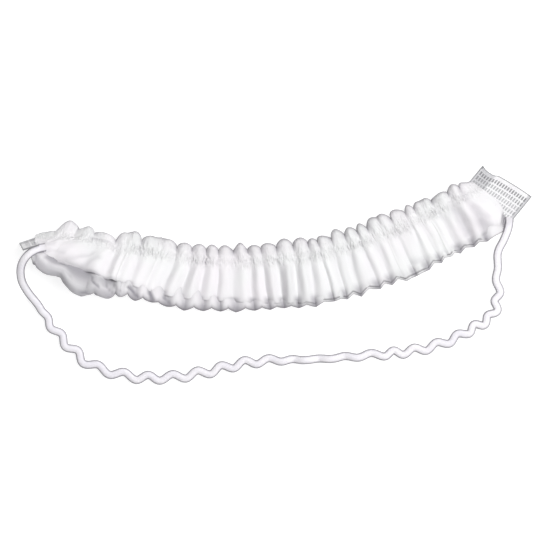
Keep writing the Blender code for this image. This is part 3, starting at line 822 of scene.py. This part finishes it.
class Cut:
    """One cut across the strip, a share of its way through a flute."""

    def __init__(self, head_share, foot_share, flutes, share, length):
        self.length = length
        head_along = head_share * HEAD_END_SHARE
        self.along = (head_along + foot_share) / 2
        for name in Station._fields[1:]:
            setattr(self, name, read_station(self.along, name))
        for name, part in PARTS.items():
            grown = fade_in(self.along, part.start, part.grow)
            setattr(self, name, part.most * grown * fade_out(self.along, part.end, part.fade))
        self.lay_out(head_along, foot_share, (head_share + foot_share) / 2)
        self.read_flutes(*flutes, share)
        self.gather_spread = uneven(GATHER_SPREAD, length, 0.0)
        self.gather_depth = uneven(GATHER_DEPTH, length, 0.0)

    def lay_out(self, head_along, foot_along, progress):
        """Where the cut runs, with its lowest ply on the table."""
        self.open = pinch_at(progress)
        self.pitch = mix(PINCH_PITCH, PLY_PITCH * self.loft, self.open)
        self.splay *= SPLAY_REACH * self.open
        level_half = STRIP_WIDTH / 2 * math.cos(self.twist * END_TWIST)
        upright_half = UP * (STRIP_WIDTH / 2 * math.sin(self.twist * END_TWIST))
        head = spine_point(head_along) + head_side(head_along) * level_half - upright_half
        foot = spine_point(foot_along) - head_side(foot_along) * level_half + upright_half
        head += HEAD_CORNER * self.corners
        foot += FOOT_CORNER * self.corners
        foot += RIGHT_CORNER * fade_in(progress, *RIGHT_CORNER_IN)
        self.half = (head - foot).length / 2
        self.forward = spine_direction(self.along)
        self.to_head = (head - foot).normalized()
        self.to_front = self.forward.cross(self.to_head).normalized()
        self.hang = Vector((-self.to_head.x, -self.to_head.y, self.hanging * self.to_head.z))
        self.flap = (FLAP_SPREAD * self.spread + FLAP_LIFT * self.lift) * self.open
        lowest = 0.0
        for bend in PROFILE:
            across = bend.across * self.half + bend.puff * PUFF_REACH * self.open
            outward = (bend.level - FRONT_LEVEL) * self.pitch
            outward -= bend.ripple * FLUTE_HEIGHT * self.open / 2
            low = self.to_head.z * across + self.to_front.z * outward
            lowest = min(lowest, low + self.hang.z * bend.splay * self.splay)
        middle = (head + foot) / 2
        self.middle = middle + UP * (SHEET_THICKNESS - middle.z - lowest)

    def read_flutes(self, left, flute, right, share):
        """The flute's ridge, puff, lobe and painted shade at this cut."""
        skewed = share ** (math.log(0.5) / math.log(flute.peak))
        wave = max(math.sin(math.pi * skewed), 0.0)
        sharp = wave ** mix(ROUND_RIDGE, POINTED_RIDGE, flute.point)
        fill = (1.0 - left.dip) * max(1.0 - 2.0 * share, 0.0)
        fill += (1.0 - flute.dip) * max(2.0 * share - 1.0, 0.0)
        self.soft = mix(0.5 - 0.5 * math.cos(2.0 * math.pi * skewed), 1.0, fill)
        self.sharp = mix(sharp, 1.0, fill)
        self.depth = flute.depth
        level = mix((1.0 - left.dip) * (left.puff + flute.puff) / 2,
                    (1.0 - flute.dip) * (flute.puff + right.puff) / 2, share)
        fullness = mix(level, flute.puff, sharp)
        self.puff = fullness * PUFF_REACH * self.open
        self.swell = flute.swell * sharp * SWELL_REACH
        rounded = abs(math.cos(math.pi * share)) ** ROUND_LOBE
        zigzag = abs(1.0 - 2.0 * share)
        lobe = 1.0 - flute.notch * (1.0 - mix(rounded, zigzag, self.zigzag))
        self.lobe = mix(left.lobe, flute.lobe, share) * lobe * LOBE_REACH * self.open
        beside = left if share < 0.5 else right
        depth = mix(flute.depth, beside.depth, abs(share - 0.5))
        # Painted shade in the valleys, on the puffs' rims and on the flank away from the light
        self.relief = min(depth / FULL_RELIEF, 1.0)
        left_side = smooth_step(1.0 - share / flute.peak)
        self.rim = mix(LEAST_SHADE, 1.0, left_side) * min(fullness / FULL_PUFF, 1.0)
        self.flank = flute.tone * smooth_step(FLANK_FALL * (1.0 - share))
        self.flank *= smooth_step(FLANK_START * share)

    def ridge_at(self, spot):
        """How high in its flute the cloth is, with sharper ridges along the edges."""
        crisp = max(spot.bend.puff, spot.crisp * mix(*EDGE_CRISP, self.crisp)) + LEAST_CRISP
        return mix(self.soft, self.sharp, min(crisp, 1.0))


def fan_fold(away):
    """Height of the soft folds that fan out of the left weld, at a place away from it."""
    distance = away.length
    share = fade_in(distance, *FAN_IN) * fade_out(distance, *FAN_OUT)
    return uneven(FAN_FOLDS, math.atan2(away.y, away.x), distance) * share


def crease_at(point, creases):
    deepest = 0.0
    x = point.x + uneven(CREASE_X, point.x, point.y)
    y = point.y + uneven(CREASE_Y, point.x, point.y)
    for crease in creases:
        run_x = crease.far_x - crease.x
        run_y = crease.far_y - crease.y
        off_x = x - crease.x
        off_y = y - crease.y
        share = clamp((off_x * run_x + off_y * run_y) / (run_x ** 2 + run_y ** 2))
        away = math.hypot(off_x - share * run_x, off_y - share * run_y)
        deepest = max(deepest, bell(away, crease.width) * crease.depth)
    return deepest


def lay_point(cut, spot, ridge, gather):
    """Where the cloth lies at one spot of a cut, before its creases."""
    bend = spot.bend
    reach = mix(cut.edge, 1.0, spot.from_edge)
    out = cut.head_out if bend.across > 0.0 else cut.foot_out
    across = bend.across * reach * (cut.half + out * EDGE_OUT) + bend.puff * cut.puff
    across -= max(bend.lobe, spot.free_edge * cut.hem) * cut.lobe
    depth = mix(cut.depth, 1.0, spot.full)
    ripple = bend.ripple * (ridge * depth - 0.5) * FLUTE_HEIGHT * cut.open
    outward = (bend.level - FRONT_LEVEL) * cut.pitch + ripple
    across -= cut.straight * spot.free_edge * ripple * cut.to_front.y / cut.to_head.y
    point = cut.middle + cut.to_head * across
    kinds = ((STREAKS, 1.0), (SIDE_FOLDS, 1.0), (CRINKLES, gather), (PUFF_CRINKLES, bend.puff))
    fine = sum(uneven(kind, cut.length, spot.place) * share for kind, share in kinds)
    fine += fan_fold(point.xy - FAN_CENTRE)
    point += cut.to_front * (outward + fine * cut.open)
    wander = uneven(WANDER, cut.length, across) * cut.open
    edge_share = clamp((across / cut.half + 1.0) / 2.0)
    bow = cut.bow * math.sin(math.pi * edge_share ** BOW_SKEW)
    point += cut.forward * (wander + bow)
    point.y += cut.swell * bend.puff
    point += cut.hang * (bend.splay * cut.splay) + cut.flap * bend.splay
    point.z -= cut.drop * spot.drop
    point.z -= cut.sag * spot.front_edge
    nick = NICK_DEPTH * bell(cut.length - NICK_PLACE, NICK_WIDTH)
    point += cut.to_head * (nick * spot.nicked)
    point += FLAP_LIFT * (spot.lifted * cut.far_left)
    point -= cut.forward * (cut.lean * spot.lean)
    point += CORNER_CURL * spot.front_edge * cut.curl
    return point


def read_painted_shade(cut, spot, ridge, crease):
    """How dark the painted shade is at one spot of a cut, in its crest, shade, valley and inside layers.
    """
    lobe = spot.bend.lobe
    valley = (1.0 - ridge) * cut.relief
    crest = bell(spot.fold, mix(CREST_WIDTH, HEM_LINE_WIDTH, cut.hem * lobe))
    crest = max(crest, bell(spot.place, HEM_LINE_WIDTH) * cut.hem)
    crest *= 1.0 - LOBE_PALER * cut.far_left * lobe
    shade_blotch = uneven(SHADE_BLOTCHES, cut.length, spot.place) + VALLEY_SHADE_BLOTCH * (1.0 - ridge)
    behind = mix(mix(LEAST_BEHIND, 1.0, valley), min(shade_blotch, SHADE_BLOTCH_LIMIT), cut.far_left)
    paler = max(FLAP_PALER * cut.far_left, HEM_PALER * cut.hem)
    behind *= spot.behind * (1.0 - paler * lobe)
    blob = spot.blob * (1.0 - cut.soft) ** BLOB_POWER * (1.0 - cut.far_left)
    inside = max(behind, blob, spot.notch * valley ** 2, crease * spot.crease_grey)
    fold_shade = bell(spot.fold, SHADE_WIDTH) * mix(LEAST_SHADE, 1.0, valley)
    fold_shade *= 1.0 - LOBE_PALER * max(cut.far_left, cut.hem) * lobe
    # Painted shade in patches near the right end, and on the flanks away from the light
    patch = cut.end_patch * cut.open * uneven(SHADE_PATCHES, cut.length, spot.place)
    flank = cut.flank * spot.body * uneven(FLANK_GREYS, cut.length, spot.place)
    shade = max(fold_shade, spot.rim * cut.rim, patch, flank)
    return crest, shade, valley, inside


def cloth_column(cut, spots):
    """A cut's points, each with what the cloth's material reads there and its place in the map."""
    column = []
    for spot in spots:
        ridge = cut.ridge_at(spot)
        gather = bell((spot.bend.across - GATHER_LINE) * cut.half, cut.gather_spread)
        gather *= cut.gather_depth
        point = lay_point(cut, spot, ridge, gather)
        crease = crease_at(point, spot.creases)
        point -= cut.to_front * (crease * CREASE_DEPTH)
        point.z = max(point.z, SHEET_THICKNESS)
        values = (*read_painted_shade(cut, spot, ridge, crease),
                  gather + spot.bend.puff * PUFF_GATHER)
        column.append((point, values, (cut.length * MAP_STRETCH, spot.place)))
    return line_head_edge(column)


def line_head_edge(column):
    """The column with a line of painted shade where the cloth turns down along its head edge."""
    turn = max(column, key=lambda spot: spot[0].y)[2][1]
    lined = []
    for point, (crest, *others), spot in column:
        line = TURN_LINE * bell(spot[1] - turn, TURN_WIDTH)
        lined.append((point, (max(crest, line), *others), spot))
    return lined


def cloth_columns():
    """The cuts across the strip, a few to each flute and one more at the right weld."""
    head_shares = edge_shares("head")
    foot_shares = edge_shares("foot")
    spots = profile_spots()
    row = (NO_FLUTE, *FLUTES, NO_FLUTE)
    columns = []
    for index, flute in enumerate(FLUTES):
        for step in range(FLUTE_CUTS + (flute is FLUTES[-1])):
            even = step / FLUTE_CUTS
            share = mix(even, 0.5 - 0.5 * math.cos(math.pi * even), CUT_CROWDING)
            cut = Cut(mix(*head_shares[index:index + 2], share),
                      mix(*foot_shares[index:index + 2], share),
                      row[index:index + 3], share, (index + share) * MEAN_FLUTE)
            columns.append(cloth_column(cut, spots))
    return columns


def make_cloth(columns, material):
    cloth = finish_mesh("folded_cloth", lay_grid(columns, CLOTH_LAYERS), material)
    thicken(cloth, SHEET_THICKNESS)
    return cloth


# Welded tabs


def press_dashes(columns, rows):
    """A flat field of dashes in the XY plane, its rows along X and its cut edge at y = 0."""
    bpy.ops.object.select_all(action="DESELECT")
    bpy.ops.mesh.primitive_plane_add(size=1.0, location=(0.0, 0.0, 0.0))
    tab = bpy.context.object
    bpy.ops.object.mode_set(mode="EDIT")
    bpy.ops.transform.resize(value=(DASH_PITCH, ROW_PITCH, 1.0))
    bpy.ops.transform.translate(value=(DASH_PITCH / 2, ROW_PITCH / 2, 0.0))
    margin = DASH_PITCH / 8
    bpy.ops.mesh.inset(thickness=margin)
    across = (DASH_WIDTH + 2 * DASH_RIM) / (DASH_PITCH - 2 * margin)
    along = (DASH_LENGTH + 2 * DASH_RIM) / (ROW_PITCH - 2 * margin)
    bpy.ops.transform.resize(value=(across, along, 1.0))
    bpy.ops.mesh.inset(thickness=DASH_RIM)
    bpy.ops.transform.translate(value=(0.0, 0.0, -DASH_DEPTH))
    bpy.ops.object.mode_set(mode="OBJECT")
    repeat(tab, columns, (DASH_PITCH, 0.0, 0.0))
    repeat(tab, rows, (0.0, ROW_PITCH, 0.0))
    for axis, place, outwards, width in ((1, 0.0, -1, TAB_MARGIN), (0, 0.0, -1, TAB_SIDE),
                                         (0, columns * DASH_PITCH, 1, TAB_SIDE)):
        plain = outwards * (width - TAB_LINE)
        extrude_border(tab, axis, place, plain)
        extrude_border(tab, axis, place + plain, outwards * TAB_LINE)
    return tab


def repeat(piece, count, step):
    array = piece.modifiers.new("rows", "ARRAY")
    array.count = count
    array.use_relative_offset = False
    array.use_constant_offset = True
    array.constant_offset_displace = step
    array.use_merge_vertices = True
    array.merge_threshold = DASH_RIM / 10
    bpy.ops.object.modifier_apply(modifier=array.name)


def extrude_border(piece, axis, place, width):
    """Carry the border at one place along an axis outwards as a plain strip."""
    close = DASH_RIM / 4
    for edge in piece.data.edges:
        ends = [piece.data.vertices[number].co[axis] for number in edge.vertices]
        edge.select = all(abs(end - place) < close for end in ends)
    move = [0.0, 0.0, 0.0]
    move[axis] = width
    bpy.ops.object.mode_set(mode="EDIT")
    bpy.ops.mesh.select_mode(type="EDGE")
    bpy.ops.mesh.extrude_region_move(TRANSFORM_OT_translate={"value": move})
    bpy.ops.mesh.select_all(action="DESELECT")
    bpy.ops.object.mode_set(mode="OBJECT")


def cut_edge_inset(share):
    """How far the right tab's cut edge lies inside the straight line between its corners."""
    drawn_in = fade_in(share, *INSET_IN) * fade_out(share, *INSET_OUT)
    bulge = math.sin(math.pi * clamp((share - TAB_FOLD) / (1.0 - TAB_FOLD)))
    return TAB_INSET * drawn_in - TAB_BULGE * bulge


def make_tab(name, corners, bent, material):
    """A welded tab over four corners: head and foot of its cut edge, then of its inner edge."""
    cut_head, cut_foot, inner_head, inner_foot = (Vector(corner) for corner in corners)
    width = (cut_foot - cut_head).length
    run = (cut_foot - cut_head).normalized()
    inwards = (inner_foot - cut_foot).normalized()
    normal = inwards.cross(run).normalized()
    normal *= math.copysign(1.0, normal.z)
    foot_depth = (inner_foot - cut_foot).length + TAB_LAP
    head_depth = (inner_head - cut_head).length + TAB_LAP
    columns = round((width - 2 * TAB_SIDE) / DASH_PITCH)
    rows = math.ceil((max(foot_depth, head_depth) - TAB_MARGIN) / ROW_PITCH)
    tab = press_dashes(columns, rows)
    tab.name = name
    flat_width = columns * DASH_PITCH + 2 * TAB_SIDE
    slant = Vector((flat_width, foot_depth - head_depth, 0.0)).normalized()
    bpy.ops.object.mode_set(mode="EDIT")
    bpy.ops.mesh.select_all(action="SELECT")
    bpy.ops.mesh.bisect(plane_co=(-TAB_SIDE, head_depth - TAB_MARGIN, 0.0),
                        plane_no=(-slant.y, slant.x, 0.0), clear_outer=True)
    bpy.ops.object.mode_set(mode="OBJECT")
    mesh = tab.data
    pressed, border, share = (mesh.attributes.new(layer, "FLOAT", "POINT")
                              for layer in ("dash", "border", "share"))
    cloth_map = mesh.uv_layers.new(name="cloth_metres")
    for loop in mesh.loops:
        cloth_map.data[loop.index].uv = mesh.vertices[loop.vertex_index].co.xy
    for index, vert in enumerate(mesh.vertices):
        along = (vert.co.x + TAB_SIDE) / flat_width
        depth = vert.co.y + TAB_MARGIN
        paler = DASH_FADE * fade_in(depth, TAB_MARGIN, FADE_ROWS * ROW_PITCH)
        pressed.data[index].value = -vert.co.z / DASH_DEPTH * (1.0 - paler)
        border.data[index].value = min(along * flat_width, (1.0 - along) * flat_width, depth)
        share.data[index].value = along
        near_cut = 1.0 - min(depth / head_depth, 1.0)
        rise = uneven(TAB_WAVES, vert.co.x, vert.co.y)
        if bent:
            rise += TAB_CURL * smooth_step(1.0 - along / TAB_FOLD) * near_cut
            depth += cut_edge_inset(along) * near_cut
        vert.co = (cut_head + run * along * width + inwards * depth
                   + normal * (vert.co.z + rise))
    mesh.materials.append(material)
    thicken(tab, TAB_THICKNESS, -1.0 if run.cross(inwards).dot(normal) > 0.0 else 1.0)
    return tab


# Head elastic


def smooth_route(route, spacing):
    """Evenly spaced points on a smooth curve through the route's own points."""
    knots = [Vector((*point, ELASTIC_LEVEL)[:3]) for point in route]
    last = len(knots) - 1
    slopes = [(knots[min(index + 1, last)] - knots[max(index - 1, 0)]) / 2
              for index in range(len(knots))]
    fine = []
    for ends in zip(knots, knots[1:], slopes, slopes[1:]):
        fine += [curve(*ends, step / ROUTE_STEPS) for step in range(ROUTE_STEPS)]
    fine.append(knots[-1])
    lengths = [0.0]
    for before, after in zip(fine, fine[1:]):
        lengths.append(lengths[-1] + (after - before).length)
    count = round(lengths[-1] / spacing)
    points = []
    place = 0
    for number in range(count + 1):
        wanted = lengths[-1] * number / count
        while place < len(lengths) - 2 and lengths[place + 1] < wanted:
            place += 1
        share = (wanted - lengths[place]) / (lengths[place + 1] - lengths[place])
        points.append(fine[place].lerp(fine[place + 1], share))
    return points


def crimped_route():
    """The mean route with its crimps, which swing it sideways or up off the table."""
    mean = smooth_route(ELASTIC_ROUTE, ELASTIC_STEP)
    peaks = []
    for crimp in CRIMPS:
        gaps = [(point.xy - Vector((crimp.x, crimp.y))).length for point in mean]
        peaks.append(gaps.index(min(gaps)))
    path = []
    for index, point in enumerate(mean):
        if index <= peaks[0] or index >= peaks[-1]:
            path.append(point.copy())
            continue
        run = direction_at(mean, index)
        outward = Vector((run.y, -run.x, 0.0)).normalized()
        place = max(number for number, peak in enumerate(peaks) if peak <= index)
        share = (index - peaks[place]) / (peaks[place + 1] - peaks[place])
        swing = mix(CRIMPS[place].swing, CRIMPS[place + 1].swing, share) * CRIMP_SWING
        lift = mix(CRIMPS[place].lift, CRIMPS[place + 1].lift, share) * CRIMP_LIFT
        wave = math.cos(2.0 * math.pi * share)
        path.append(point + outward * swing * wave + UP * (lift * (1.0 + wave)))
    return path


def make_elastic(path, material):
    radius = ELASTIC_DIAMETER / 2
    side = UP
    rings = []
    for index, point in enumerate(path):
        run = direction_at(path, index)
        side = (side - run * side.dot(run)).normalized()
        other = run.cross(side)
        upper = (UP - run * run.z).normalized()
        full = smooth_step(min(index, len(path) - 1 - index) * ELASTIC_STEP / PRESSED_REACH)
        flat = mix(PRESSED_SHARE, 1.0, full)
        ring = []
        for number in range(ELASTIC_SIDES + 1):
            turn = 2.0 * math.pi * number / ELASTIC_SIDES
            normal = side * math.cos(turn) + other * math.sin(turn)
            flattened = side * math.cos(turn) * flat + other * math.sin(turn)
            flank = fade_out(abs(normal.dot(upper)), *FLANK_OUT)
            ring.append((point + flattened * radius, (flank, 1.0 - full),
                         (index * ELASTIC_STEP, turn * radius)))
        rings.append(ring)
    builder = lay_grid(rings, ("flank", "pressed"))
    bmesh.ops.remove_doubles(builder, verts=builder.verts, dist=MERGE_REACH)
    bmesh.ops.holes_fill(builder, edges=builder.edges)
    bmesh.ops.recalc_face_normals(builder, faces=builder.faces)
    return finish_mesh("crimped_elastic", builder, material)


def path_length(path):
    return sum((after - before).length for before, after in zip(path, path[1:]))


def main():
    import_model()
    make_camera()
    path = crimped_route()
    elastic = make_elastic(path, make_elastic_material())
    make_studio()
    make_table()
    cloth = make_cloth(cloth_columns(), make_cloth_material())
    weld = make_weld_material()
    left_tab = make_tab("left_tab", LEFT_TAB, False, weld)
    right_tab = make_tab("right_tab", RIGHT_TAB, True, weld)

    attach(elastic, "root")
    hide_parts("head_elastic")
    path_length(path)
    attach(cloth, "root")
    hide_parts("cover")
    for tab, node in ((left_tab, "left_weld_tab"), (right_tab, "right_weld_tab")):
        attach(tab, "root")
        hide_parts(node)


main()
